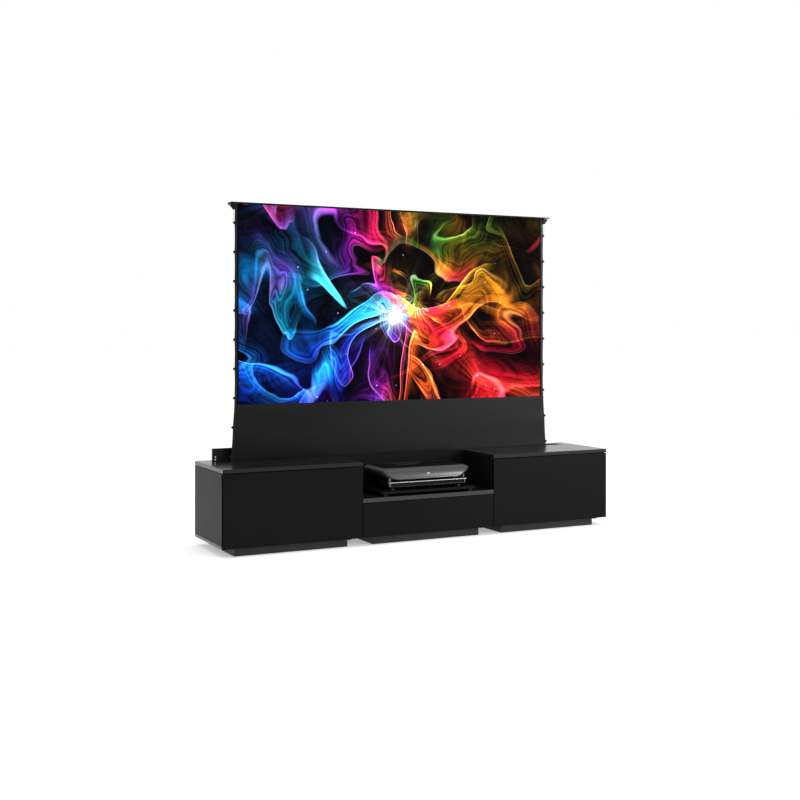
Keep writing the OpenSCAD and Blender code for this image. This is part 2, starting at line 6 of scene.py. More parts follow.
import bmesh
import bpy
import numpy as np
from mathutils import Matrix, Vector


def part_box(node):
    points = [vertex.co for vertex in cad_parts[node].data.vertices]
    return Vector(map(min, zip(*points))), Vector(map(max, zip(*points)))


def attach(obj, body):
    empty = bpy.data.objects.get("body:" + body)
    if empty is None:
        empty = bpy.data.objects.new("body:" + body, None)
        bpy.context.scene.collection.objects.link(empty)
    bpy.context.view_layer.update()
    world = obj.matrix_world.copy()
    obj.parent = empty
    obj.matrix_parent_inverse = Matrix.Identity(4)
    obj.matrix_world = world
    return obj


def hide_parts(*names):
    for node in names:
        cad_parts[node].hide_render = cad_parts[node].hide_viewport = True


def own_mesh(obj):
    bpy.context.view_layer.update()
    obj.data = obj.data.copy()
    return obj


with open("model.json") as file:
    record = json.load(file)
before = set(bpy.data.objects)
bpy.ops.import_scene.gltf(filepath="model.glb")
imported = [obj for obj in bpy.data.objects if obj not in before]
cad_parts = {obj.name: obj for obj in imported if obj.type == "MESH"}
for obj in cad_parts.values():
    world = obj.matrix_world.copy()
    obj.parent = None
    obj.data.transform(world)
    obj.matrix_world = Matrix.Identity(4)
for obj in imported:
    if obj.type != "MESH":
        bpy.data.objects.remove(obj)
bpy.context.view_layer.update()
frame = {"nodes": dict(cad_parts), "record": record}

record = frame["record"]
BODY_OF = {
    node: body for body, nodes in record["behaviour"]["bodies"].items() for node in nodes
}
MM = 0.001
TO_FRONT, TO_BACK = (0, -1, 0), (0, 1, 0)


# ---------------------------------------------------------------- node trees


class Nodes:
    """One material's node tree, with short calls for the nodes that the finishes use."""

    def __init__(self, name):
        self.material = bpy.data.materials.new(name)
        self.material.use_nodes = True
        self.tree = self.material.node_tree
        self.shader = self.tree.nodes["Principled BSDF"]

    def plug(self, socket, value):
        if isinstance(value, bpy.types.NodeSocket):
            self.tree.links.new(value, socket)
        else:
            socket.default_value = value

    def add(self, kind, inputs=None, **settings):
        node = self.tree.nodes.new("ShaderNode" + kind)
        for key, value in settings.items():
            setattr(node, key, value)
        for key, value in (inputs or {}).items():
            self.plug(node.inputs[key], value)
        return node

    def finish(self, **values):
        """Plugs values into the shader, named as its sockets are but with _ for a space."""
        for key, value in values.items():
            self.plug(self.shader.inputs[key.replace("_", " ")], value)
        return self.material

    def place(self):
        return self.add("TexCoord").outputs["Object"]

    def axes(self, vector):
        return self.add("SeparateXYZ", {"Vector": vector}).outputs

    def join(self, x=0.0, y=0.0, z=0.0):
        return self.add("CombineXYZ", {"X": x, "Y": y, "Z": z}).outputs[0]

    def math(self, operation, *values):
        node = self.add("Math", operation=operation)
        for socket, value in zip(node.inputs, values):
            self.plug(socket, value)
        return node.outputs[0]

    def vector(self, operation, *values, scale=None):
        node = self.add("VectorMath", operation=operation)
        for socket, value in zip(node.inputs, values):
            self.plug(socket, value)
        if scale is not None:
            self.plug(node.inputs["Scale"], scale)
        return node.outputs["Value" if operation == "LENGTH" else "Vector"]

    def noise(self, vector, scale, detail=2.0, roughness=0.5, distortion=0.0, out="Fac"):
        inputs = {
            "Vector": vector,
            "Scale": scale,
            "Detail": detail,
            "Roughness": roughness,
            "Distortion": distortion,
        }
        return self.add("TexNoise", inputs).outputs[out]

    def cells(self, vector, scale, out="Distance"):
        return self.add("TexVoronoi", {"Vector": vector, "Scale": scale}).outputs[out]

    def spread(self, value, low, high, to_low, to_high):
        """value from low..high to to_low..to_high, clamped."""
        inputs = {
            "Value": value,
            "From Min": low,
            "From Max": high,
            "To Min": to_low,
            "To Max": to_high,
        }
        return self.add("MapRange", inputs).outputs[0]

    def mix(self, factor, first, second):
        """first where factor is 0 and second where it is 1. The colour sockets go by number."""
        node = self.add("Mix", data_type="RGBA")
        self.plug(node.inputs[0], factor)
        self.plug(node.inputs[6], first)
        self.plug(node.inputs[7], second)
        return node.outputs[2]

    def ramp(self, factor, stops):
        node = self.add("ValToRGB", {"Fac": factor})
        band = node.color_ramp
        while len(band.elements) < len(stops):
            band.elements.new(0.5)
        for element, (position, colour) in zip(band.elements, stops):
            element.position = position
            element.color = (*colour, 1.0)
        return node.outputs["Color"]

    def bump(self, height, strength, distance):
        inputs = {"Height": height, "Strength": strength, "Distance": distance}
        return self.add("Bump", inputs).outputs[0]


def grey(value, tint=0.0):
    """A colour as (r, g, b, 1); a positive tint makes it bluer."""
    return (value * (1 - tint), value, value * (1 + tint), 1.0)


def lacquer(name, shade, roughness, ior, smudged=0.06):
    """Satin sprayed lacquer: faint orange peel, soft cloudiness and wiped smudges."""
    n = Nodes(name)
    at = n.place()
    cloud = n.noise(at, 2.6, 3)
    smudge = n.noise(n.vector("MULTIPLY", at, (5.0, 5.0, 14.0)), 1.0, 5, 0.62, 0.8)
    peel = n.noise(at, 420.0, 2)
    dust = n.spread(n.noise(at, 1500.0, 1), 0.7, 0.8, 0.0, 1.0)
    colour = n.mix(cloud, grey(shade * 0.75), grey(shade * 1.3, 0.05))
    return n.finish(
        Base_Color=n.mix(n.math("MULTIPLY", dust, 0.15), colour, grey(shade * 3)),
        Roughness=n.spread(smudge, 0.3, 0.7, roughness - 0.4 * smudged, roughness + 0.6 * smudged),
        Normal=n.bump(peel, 0.12, 0.0004),
        IOR=ior,
    )


def melamine(name, shade):
    """Matt melamine board: a printed fine grain along X with small pores."""
    n = Nodes(name)
    at = n.place()
    grain = n.noise(n.vector("MULTIPLY", at, (3.0, 60.0, 60.0)), 4.0, 5, 0.6, 0.4)
    pores = n.noise(n.vector("MULTIPLY", at, (30.0, 400.0, 400.0)), 2.0, 2)
    return n.finish(
        Base_Color=n.mix(grain, grey(shade * 0.7, -0.04), grey(shade * 1.35, -0.03)),
        Roughness=n.spread(pores, 0.3, 0.7, 0.45, 0.6),
        Normal=n.bump(n.math("ADD", grain, pores), 0.15, 0.0003),
        IOR=1.4,
    )


def moulded(name, shade, roughness, ior, grain=1400.0, depth=0.25):
    """Moulded plastic with a spark-eroded texture and slow variation in its gloss."""
    n = Nodes(name)
    at = n.place()
    pits = n.cells(at, grain)
    slow = n.noise(at, 9.0, 3)
    return n.finish(
        Base_Color=n.mix(slow, grey(shade * 0.8), grey(shade * 1.25, 0.03)),
        Roughness=n.spread(slow, 0.3, 0.7, roughness - 0.05, roughness + 0.06),
        Normal=n.bump(pits, depth, 0.0002),
        IOR=ior,
    )


def brushed(name, shade, roughness, stretch, tint=0.02, metal=1.0):
    """Rolled, drawn or brushed metal. stretch is large across the brushing and small along it."""
    n = Nodes(name)
    at = n.place()
    lines = n.noise(n.vector("MULTIPLY", at, stretch), 1.0, 4, 0.65)
    stain = n.noise(at, 14.0, 4, 0.6)
    return n.finish(
        Base_Color=n.mix(stain, grey(shade * 0.82, tint), grey(shade * 1.1, tint)),
        Metallic=metal,
        Roughness=n.spread(
            n.math("ADD", lines, stain), 0.7, 1.3, roughness - 0.07, roughness + 0.1
        ),
        Normal=n.bump(lines, 0.1, 0.0002),
    )


def satin_paint(name, shade):
    """Graphite paint with fine metallic flakes under a satin clear coat."""
    n = Nodes(name)
    at = n.place()
    flake = n.cells(at, 2600.0, "Color")
    slow = n.noise(at, 6.0, 3)
    sparkle = n.spread(n.axes(flake)[0], 0.75, 1.0, 0.0, 1.0)
    base = n.mix(slow, grey(shade * 0.9, 0.02), grey(shade * 1.12, 0.02))
    return n.finish(
        Base_Color=n.mix(n.math("MULTIPLY", sparkle, 0.35), base, grey(shade * 3)),
        Metallic=0.55,
        Roughness=n.spread(slow, 0.3, 0.7, 0.3, 0.38),
        Normal=n.bump(n.axes(flake)[1], 0.05, 0.0001),
        Coat_Weight=0.25,
        Coat_Roughness=0.18,
    )


def gloss(name, colour):
    """Polished plastic with fine wiping marks."""
    n = Nodes(name)
    at = n.place()
    wipe = n.noise(n.vector("MULTIPLY", at, (90.0, 90.0, 900.0)), 1.0, 4, 0.7)
    tone = n.mix(n.noise(at, 25.0, 2), grey(0.0), grey(1.0))
    lighter = tuple(min(1.0, c * 1.25) for c in colour)
    return n.finish(
        Base_Color=n.mix(tone, (*colour, 1.0), (*lighter, 1.0)),
        Roughness=n.spread(wipe, 0.35, 0.75, 0.084, 0.192),
        Coat_Weight=0.6,
        Coat_Roughness=0.05,
    )


def mirror_finish(name):
    """Front-silvered glass with a trace of haze."""
    n = Nodes(name)
    haze = n.noise(n.place(), 60.0, 4)
    return n.finish(
        Base_Color=n.mix(haze, grey(0.86), grey(0.95, 0.01)),
        Metallic=1.0,
        Roughness=n.spread(haze, 0.4, 0.8, 0.01, 0.05),
    )


def coated_glass(name):
    """Clear window with a lens coating that shifts from green to violet."""
    n = Nodes(name)
    shift = n.noise(n.place(), 12.0, 2)
    return n.finish(
        Base_Color=n.mix(shift, (0.55, 0.8, 0.72, 1.0), (0.62, 0.58, 0.85, 1.0)),
        Roughness=n.spread(n.noise(n.place(), 300.0, 2), 0.4, 0.7, 0.01, 0.04),
        Transmission_Weight=0.85,
        IOR=1.5,
        Coat_Weight=0.5,
        Coat_Tint=(0.6, 0.75, 1.0, 1.0),
    )


# Just above the main board's upper face
BOARD_FACE_Z = 0.3478


def circuit(name):
    """Green solder mask with copper tracks; what stands above the board's face is black."""
    n = Nodes(name)
    at = n.place()
    x, y, z = (n.axes(at)[i] for i in range(3))
    lanes = n.math("PINGPONG", n.math("MULTIPLY", n.math("ADD", x, y), 160.0), 1.0)
    routed = n.spread(n.cells(at, 55.0), 0.35, 0.4, 0.0, 1.0)
    track = n.math("MULTIPLY", n.spread(lanes, 0.7, 0.8, 0.0, 1.0), routed)
    board = n.mix(track, (0.012, 0.09, 0.04, 1.0), (0.06, 0.24, 0.09, 1.0))
    above = n.math("GREATER_THAN", z, BOARD_FACE_Z)
    return n.finish(
        Base_Color=n.mix(above, board, grey(0.015)),
        Roughness=n.spread(n.noise(at, 200.0, 2), 0.3, 0.7, 0.3, 0.5),
        Normal=n.bump(track, 0.3, 0.0002),
    )


def rubber(name):
    """Dull black rubber with a fine speckle."""
    n = Nodes(name)
    speck = n.noise(n.place(), 900.0, 3)
    return n.finish(
        Base_Color=n.mix(speck, grey(0.01), grey(0.03)),
        Roughness=n.spread(speck, 0.3, 0.7, 0.75, 0.9),
        Normal=n.bump(speck, 0.3, 0.0002),
    )


# Distance between the screen cloth's threads
THREAD_PITCH = 0.0005


def woven(n, at):
    """Height of a fine plain weave in the X-Z plane."""
    x, _, z = (n.axes(at)[i] for i in range(3))
    threads = 2 * math.pi / THREAD_PITCH
    warp = n.math("SINE", n.math("MULTIPLY", x, threads))
    weft = n.math("SINE", n.math("MULTIPLY", z, threads))
    return n.math("ADD", n.math("MULTIPLY", warp, weft), n.noise(at, 700.0, 2))


def black_cloth(name, shade, ior):
    """Matt black screen cloth: a fine weave, soft banding and a little lint."""
    n = Nodes(name)
    at = n.place()
    band = n.noise(n.vector("MULTIPLY", at, (1.2, 1.0, 5.0)), 1.0, 3)
    lint = n.spread(n.noise(at, 520.0, 2), 0.68, 0.78, 0.0, 1.0)
    colour = n.mix(band, grey(shade * 0.8), grey(shade * 1.3))
    return n.finish(
        Base_Color=n.mix(n.math("MULTIPLY", lint, 0.2), colour, grey(shade * 5)),
        Roughness=n.spread(band, 0.3, 0.7, 0.29, 0.42),
        Normal=n.bump(woven(n, at), 0.15, 0.0002),
        IOR=ior,
    )


# The picture's lower edge and half its width, and where its bright middle is
PICTURE_LOW, PICTURE_HALF = 0.8575, 1.107
BURST_X, BURST_Z = -0.02, 1.41
# The picture's colours by direction from the middle, from 0 to 1 for one turn
PALETTE = [
    (0.00, (0.0, 0.46, 0.92)), (0.06, (0.0, 0.16, 0.60)), (0.13, (0.06, 0.02, 0.42)),
    (0.20, (0.30, 0.04, 0.30)), (0.26, (0.75, 0.20, 0.02)), (0.33, (0.95, 0.34, 0.0)),
    (0.40, (0.78, 0.02, 0.05)), (0.47, (0.75, 0.0, 0.10)), (0.52, (0.90, 0.40, 0.02)),
    (0.58, (0.60, 0.44, 0.02)), (0.64, (0.08, 0.38, 0.06)), (0.70, (0.16, 0.20, 0.14)),
    (0.75, (0.90, 0.36, 0.0)), (0.80, (0.55, 0.02, 0.16)), (0.86, (0.30, 0.04, 0.46)),
    (0.92, (0.0, 0.34, 0.40)), (1.00, (0.0, 0.46, 0.92)),
]
# Seed, swirl, folds and pleats of each veil of smoke, and which of the three tones it takes
VEILS = [
    (1.3, 0.9, 1.1, 5.0, 0),
    (5.1, 1.3, 0.8, 6.0, 1),
    (8.7, 0.7, 1.6, 4.0, 0),
    (12.9, 1.1, 1.3, 7.0, 0),
    (17.3, 1.5, 0.9, 5.0, 2),
]


def burst_of(n, reach, fade):
    """A glow about the picture's middle: 1 there, and less the greater the reach and the fade."""
    return n.math("EXPONENT", n.math("MULTIPLY", reach, -fade))


def smoke(n, at):
    """The light of the projected picture: veils of coloured smoke that stream from its middle."""
    x, _, z = (n.axes(at)[i] for i in range(3))
    flat = n.join(
        n.math("DIVIDE", n.math("SUBTRACT", x, BURST_X), PICTURE_HALF),
        n.math("DIVIDE", n.math("SUBTRACT", z, BURST_Z), PICTURE_HALF),
    )
    reach = n.vector("LENGTH", flat)

    def pushed(start, scale, amount, seed):
        """start, moved about by a smooth noise."""
        shifted = n.vector("ADD", start, (seed, 0.7 * seed, 0.0))
        shift = n.noise(shifted, scale, 1.5, out="Color")
        shift = n.vector("SUBTRACT", shift, (0.5, 0.5, 0.5))
        return n.vector("ADD", start, n.vector("SCALE", shift, scale=amount))

    def drawn_out(way, r, folds, seed):
        """Noise coordinates made of a direction from the middle and a distance from it."""
        lifted = n.join(seed, seed, n.math("MULTIPLY_ADD", r, 0.9, seed))
        return n.vector("ADD", n.vector("SCALE", way, scale=folds), lifted)

    def veil_of(seed, swirl, folds, pleats):
        """One veil, and the bright line along its hem."""
        p = pushed(flat, 0.9, swirl, seed)
        p = pushed(p, 2.4, 0.36 * swirl, seed + 3.0)
        p = pushed(p, 6.0, 0.07 * swirl, seed + 6.0)
        p = n.vector("MULTIPLY", p, (1.0, 1.0, 0.0))
        r = n.vector("LENGTH", p)
        way = n.vector("NORMALIZE", p)
        ridge = n.noise(drawn_out(way, r, folds, seed), 1.0, 1.0)
        fold = n.math("FRACT", n.math("MULTIPLY", ridge, pleats))
        strand = n.noise(n.join(n.math("MULTIPLY", ridge, 16.0 * pleats), r, seed), 1.0, 2, 0.6)
        threads = n.spread(strand, 0.36, 0.66, 0.1, 1.3)
        body = n.math("MULTIPLY", n.math("POWER", fold, 2.2), threads)
        here = n.noise(n.vector("ADD", p, (2.0 * seed, 0.0, 0.0)), 1.7, 2)
        shown = n.math(
            "MULTIPLY", n.spread(here, 0.46, 0.62, 0.0, 1.0), n.spread(fold, 0.965, 0.995, 1.0, 0.0)
        )
        line = n.math("POWER", fold, 34.0)
        return n.math("MULTIPLY", body, shown), n.math("MULTIPLY", line, shown)

    def lit(light, colour, amount):
        """light with an amount of colour added."""
        return n.vector("ADD", light, n.vector("SCALE", colour, scale=amount))

    soft = n.axes(pushed(flat, 1.4, 0.5, 9.0))
    turn = n.math("MULTIPLY_ADD", n.math("ARCTAN2", soft[1], soft[0]), 0.5 / math.pi, 0.5)
    sway = n.math("MULTIPLY_ADD", n.noise(flat, 1.8, 1), 0.36, n.math("SUBTRACT", turn, 0.16))
    tones = [
        n.ramp(turn, PALETTE),
        n.ramp(n.math("FRACT", sway), PALETTE),
        n.ramp(n.math("FRACT", n.math("ADD", sway, 0.90)), PALETTE),
    ]
    # The veils are dimmer up and to the right, brighter near the middle, and faint just at it
    aside = n.math("MULTIPLY_ADD", n.axes(flat)[1], 0.6, n.axes(flat)[0])
    dim = n.spread(aside, 0.1, 1.2, 0.50, 0.05)
    dim = n.math("MULTIPLY_ADD", burst_of(n, reach, 2.2), 2.1, dim)
    dim = n.math("MULTIPLY", dim, n.spread(reach, 0.02, 0.14, 0.12, 1.0))
    light = n.mix(n.noise(flat, 1.3, 2), (0.0, 0.004, 0.016, 1), (0.010, 0.0, 0.012, 1))
    for *shape, tone in VEILS:
        body, line = veil_of(*shape)
        light = lit(light, tones[tone], n.math("MULTIPLY", body, dim))
        light = lit(light, n.mix(0.35, tones[tone], grey(1.0)), n.math("MULTIPLY", line, dim))
    # Thin rays, then the glow at the middle, then a few floating sparks
    spokes = n.noise(n.vector("SCALE", n.vector("NORMALIZE", flat), scale=5.0), 1.0, 3, 0.6)
    ray = n.math("MULTIPLY", n.spread(spokes, 0.5, 0.7, 0.0, 0.8), burst_of(n, reach, 7.0))
    light = lit(light, n.mix(0.5, tones[0], grey(1.0)), ray)
    light = lit(light, (1.0, 0.9, 0.7), burst_of(n, reach, 28.0))
    light = lit(light, (0.18, 0.08, 0.06), burst_of(n, reach, 7.5))
    grid = n.vector("MULTIPLY", flat, (16.0, 16.0, 0.0))
    rare = n.math("GREATER_THAN", n.axes(n.cells(grid, 1.0, "Color"))[0], 0.72)
    speck = n.math("MULTIPLY", n.spread(n.cells(grid, 1.0), 0.03, 0.09, 1.0, 0.0), rare)
    light = lit(light, (0.25, 0.4, 0.6), speck)
    light = n.add("HueSaturation", {"Color": light, "Saturation": 0.92}).outputs[0]
    return n.add("Gamma", {"Color": light, "Gamma": 2.1}).outputs[0]


def picture_cloth(name):
    """The black cloth where the picture falls on it."""
    n = Nodes(name)
    at = n.place()
    band = n.noise(n.vector("MULTIPLY", at, (1.2, 1.0, 5.0)), 1.0, 3)
    return n.finish(
        Base_Color=n.mix(band, grey(0.0006), grey(0.0012)),
        Roughness=n.spread(band, 0.3, 0.7, 0.45, 0.55),
        Normal=n.bump(woven(n, at), 0.15, 0.0002),
        IOR=1.04,
        Emission_Color=smoke(n, at),
        Emission_Strength=4.8,
    )


# ---------------------------------------------------------------- mesh helpers


def piece(name, mesh, material, body, stands_for=(), sharp=40.0):
    """Makes mesh a piece that rides on a body, takes the given finish and stands for CAD nodes."""
    if not mesh.materials:
        for m in material if isinstance(material, (list, tuple)) else [material]:
            mesh.materials.append(m)
    mesh.polygons.foreach_set("use_smooth", [True] * len(mesh.polygons))
    mesh.set_sharp_from_angle(angle=math.radians(sharp))
    obj = bpy.data.objects.new(name, mesh)
    bpy.context.scene.collection.objects.link(obj)
    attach(obj, body)
    if stands_for:
        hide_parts(*stands_for)
    return obj


# Two faces of an eased form that turn by more than this many degrees have a sharp edge between
EASED_ANGLE = 30.0


def ease(obj, width, steps):
    """Rounds the sharp edges of obj, and keeps its large flat faces flat."""
    bevel = obj.modifiers.new("edges", "BEVEL")
    bevel.width = width
    bevel.segments = steps
    bevel.limit_method = "ANGLE"
    bevel.angle_limit = math.radians(EASED_ANGLE)
    bevel.miter_outer = "MITER_ARC"
    bevel.use_clamp_overlap = True
    obj.modifiers.new("normals", "WEIGHTED_NORMAL").keep_sharp = True


def cad_mesh(node):
    """A copy of a CAD node's mesh with its triangles joined into clean faces."""
    work = bmesh.new()
    work.from_mesh(frame["nodes"][node].data)
    bmesh.ops.remove_doubles(work, verts=work.verts, dist=1e-6)
    bmesh.ops.dissolve_limit(
        work, angle_limit=math.radians(0.4), verts=work.verts, edges=work.edges
    )
    mesh = bpy.data.meshes.new(node + "_clean")
    work.to_mesh(mesh)
    work.free()
    return mesh


def eased(node, material, width, steps):
    """The CAD node again with eased edges and a finish of its own."""
    name, mesh = node + "_eased", cad_mesh(node)
    obj = piece(name, mesh, material, BODY_OF[node], [node], EASED_ANGLE)
    ease(obj, width, steps)


def mesh_of(name, parts):
    """One mesh from a list of (points, faces)."""
    points, faces = [], []
    for part_points, part_faces in parts:
        start = len(points)
        points += [tuple(p) for p in part_points]
        faces += [[start + i for i in face] for face in part_faces]
    mesh = bpy.data.meshes.new(name)
    mesh.from_pydata(points, [], faces)
    work = bmesh.new()
    work.from_mesh(mesh)
    bmesh.ops.recalc_face_normals(work, faces=work.faces)
    work.to_mesh(mesh)
    work.free()
    return mesh


def loft(loops, closed=False):
    """Faces between loops of points. closed joins the last loop to the first, instead of caps."""
    count, size = len(loops), len(loops[0])
    faces = []
    for i in range(count if closed else count - 1):
        a, b = i * size, ((i + 1) % count) * size
        faces += [
            [a + j, a + (j + 1) % size, b + (j + 1) % size, b + j] for j in range(size)
        ]
    if not closed:
        faces.append(list(range(size))[::-1])
        faces.append([(count - 1) * size + j for j in range(size)])
    return [p for loop in loops for p in loop], faces


def turned(profile, at, axis, steps=32, wave=None):
    """A turned solid. profile holds (distance along the axis, radius), and its ends are capped
    flat. wave(i, angle) scales the radius of profile point i, for recesses."""
    axis = Vector(axis).normalized()
    side = axis.orthogonal().normalized()
    other = axis.cross(side)
    loops = []
    for i, (along, radius) in enumerate(profile):
        loop = []
        for j in range(steps):
            a = 2 * math.pi * j / steps
            r = radius * (wave(i, a) if wave else 1.0)
            loop.append(Vector(at) + axis * along + (side * math.cos(a) + other * math.sin(a)) * r)
        loops.append(loop)
    return loft(loops)


def tube(path, radius, sides=10):
    """A round bar through the points of path."""
    loops = []
    for i, point in enumerate(path):
        ahead = Vector(path[min(i + 1, len(path) - 1)]) - Vector(path[max(i - 1, 0)])
        ahead.normalize()
        side = ahead.cross(Vector((0, 1, 0)) if abs(ahead.y) < 0.9 else Vector((1, 0, 0)))
        side.normalize()
        other = ahead.cross(side)
        loops.append([
            Vector(point)
            + side * math.cos(2 * math.pi * j / sides) * radius
            + other * math.sin(2 * math.pi * j / sides) * radius
            for j in range(sides)
        ])
    return loft(loops)


def block(low, high):
    """A rectangular block between two corners."""
    (x0, y0, z0), (x1, y1, z1) = low, high
    loops = [
        [(x0, y0, z), (x1, y0, z), (x1, y1, z), (x0, y1, z)] for z in (z0, z1)
    ]
    return loft(loops)


def rounded(half_x, y0, y1, r, z):
    """A loop round a rectangle with rounded corners, with the same count of points at any size."""
    steps = 10
    centres = [
        (half_x - r, y1 - r, 0),
        (-half_x + r, y1 - r, 1),
        (-half_x + r, y0 + r, 2),
        (half_x - r, y0 + r, 3),
    ]
    loop = []
    for cx, cy, quarter in centres:
        for i in range(steps + 1):
            a = (quarter + i / steps) * math.pi / 2
            loop.append((cx + r * math.cos(a), cy + r * math.sin(a), z))
    return loop


def screw(at, axis, r):
    """A pan-head screw of radius r with a cross recess."""
    rise = r * 0.55
    profile = [
        (0.0, r),
        (rise * 0.45, r),
        (rise * 0.85, r * 0.8),
        (rise, r * 0.62),
        (rise, r * 0.5),
        (rise * 0.25, r * 0.4),
    ]

    def cross(i, angle):
        """Leaves the head round, and narrows the recess inside it to a cross."""
        on_head = i < 4
        return 1.0 if on_head else 0.35 + 0.65 * abs(math.cos(2 * angle)) ** 3

    return turned(profile, at, axis, 32, cross)


# ---------------------------------------------------------------- camera and light

# Fitted to the long straight edges of the photograph
camera = bpy.data.objects.new("camera", bpy.data.cameras.new("camera"))
camera.location = (-3.547, -6.840, 1.316)
camera.rotation_euler = (math.radians(90.0), 0.0, math.radians(-26.9))
camera.data.lens = 53.66
camera.data.shift_y = -0.087
camera.data.clip_end = 200.0
bpy.context.scene.collection.objects.link(camera)
bpy.context.scene.camera = camera


def softbox(name, at, look_at, size, power):
    """Adds a rectangular area light that faces look_at."""
    light = bpy.data.lights.new(name, "AREA")
    light.shape = "RECTANGLE"
    light.size, light.size_y = size
    light.energy = power
    obj = bpy.data.objects.new(name, light)
    obj.location = at
    obj.rotation_euler = (Vector(look_at) - Vector(at)).to_track_quat("-Z", "Y").to_euler()
    bpy.context.scene.collection.objects.link(obj)


softbox("key_right", (5.2, -5.6, 2.4), (0.6, 0.0, 0.7), (2.6, 3.0), 420.0)
softbox("overhead", (0.0, -0.6, 6.0), (0.0, 0.0, 0.0), (6.0, 5.0), 220.0)

world = bpy.data.worlds.new("studio")
world.use_nodes = True
world.node_tree.nodes["Background"].inputs["Color"].default_value = (1.0, 1.0, 1.0, 1.0)
world.node_tree.nodes["Background"].inputs["Strength"].default_value = 1.0
bpy.context.scene.world = world
bpy.context.scene.view_settings.view_transform = "Standard"

floor_nodes = Nodes("studio_floor")
floor_mottle = floor_nodes.noise(floor_nodes.place(), 1.5, 3)
floor_nodes.finish(
    Base_Color=floor_nodes.mix(floor_mottle, grey(0.64), grey(0.645)),
    Roughness=0.9,
    Specular_IOR_Level=0.1,
    Emission_Color=grey(1.0),
    Emission_Strength=0.38,
)
bpy.ops.mesh.primitive_plane_add(size=120.0, location=(0.0, 0.0, 0.0))
floor = bpy.context.object
floor.name = "floor"
floor.data.materials.append(floor_nodes.material)


# ---------------------------------------------------------------- finishes

# The world is pure white, so the black finishes have very dark bases and weak reflections
front_lacquer = lacquer("front_lacquer", 0.003, 0.3, 1.14)
body_lacquer = lacquer("body_lacquer", 0.003, 0.32, 1.13, 0.02)
top_lacquer = lacquer("top_lacquer", 0.006, 0.2, 1.26, 0.04)
plinth_lacquer = lacquer("plinth_lacquer", 0.02, 0.32, 1.22, 0.04)
board_lacquer = lacquer("board_lacquer", 0.012, 0.3, 1.4, 0.04)
# A paler lacquer for the shelf's front edge than for its top
edge_band = lacquer("edge_band", 0.026, 0.36, 1.25, 0.03)
# Painted highlight: a paler lacquer for the boards' outer end faces, for the light they catch
side_band = lacquer("side_band", 0.085, 0.3, 1.3, 0.03)
# Painted shade: a near-black matt lacquer on the flap and drawer ends, for the shadow in the gaps
# beside them
joint_black = lacquer("joint_black", 0.001, 0.7, 1.05, 0.02)
inner_lacquer = lacquer("inner_lacquer", 0.0045, 0.45, 1.12)
box_melamine = melamine("drawer_melamine", 0.09)
texture_black = moulded("textured_black", 0.004, 0.45, 1.18)
housing_black = moulded("housing_black", 0.003, 0.24, 1.14, 2200.0, 0.05)
zinc = brushed("zinc_plate", 0.5, 0.32, (60.0, 900.0, 900.0))
zinc_dark = brushed("zinc_grey", 0.3, 0.4, (900.0, 900.0, 60.0))
mill_alloy = brushed("mill_alloy", 0.6, 0.34, (40.0, 1100.0, 1100.0))
arm_grey = brushed("arm_anodised", 0.22, 0.36, (900.0, 900.0, 25.0))
bar_black = lacquer("bar_coat", 0.002, 0.4, 1.12)
lens_black = brushed("lens_anodised", 0.02, 0.35, (900.0, 60.0, 900.0), metal=0.8)
bright_trim = brushed("bright_trim", 0.55, 0.2, (30.0, 1500.0, 1500.0), 0.01)
cover_paint = satin_paint("cover_paint", 0.034)
# Paler graphite paint: painted highlight on the housing's bead and corner strips, own colour of the
# pin caps
guard_paint = satin_paint("guard_paint", 0.07)
# Painted sheen: a paler coat for the cover's upturned lip, for the light it catches
lip_coat = moulded("lip_coat", 0.055, 0.5, 1.1, 2600.0, 0.05)
panel_black = moulded("panel_black", 0.002, 0.2, 1.2, 2600.0, 0.03)
status_finish = gloss("status_lens", (0.5, 0.52, 0.55))
window_glass = coated_glass("window_glass")
mirror_coat = mirror_finish("mirror_coat")
board_green = circuit("circuit_board")
foot_rubber = rubber("foot_rubber")
cloth = black_cloth("screen_cloth", 0.004, 1.18)
border_cloth = black_cloth("screen_border", 0.001, 1.06)
lit_cloth = picture_cloth("screen_picture")
hem_vinyl = moulded("hem_vinyl", 0.005, 0.36, 1.2, 900.0, 0.05)
hinge_black = brushed("hinge_black_oxide", 0.02, 0.4, (60.0, 900.0, 900.0), metal=0.6)
nickel = brushed("jack_nickel", 0.75, 0.22, (300.0, 300.0, 300.0), 0.01)


# ---------------------------------------------------------------- CAD forms with eased edges

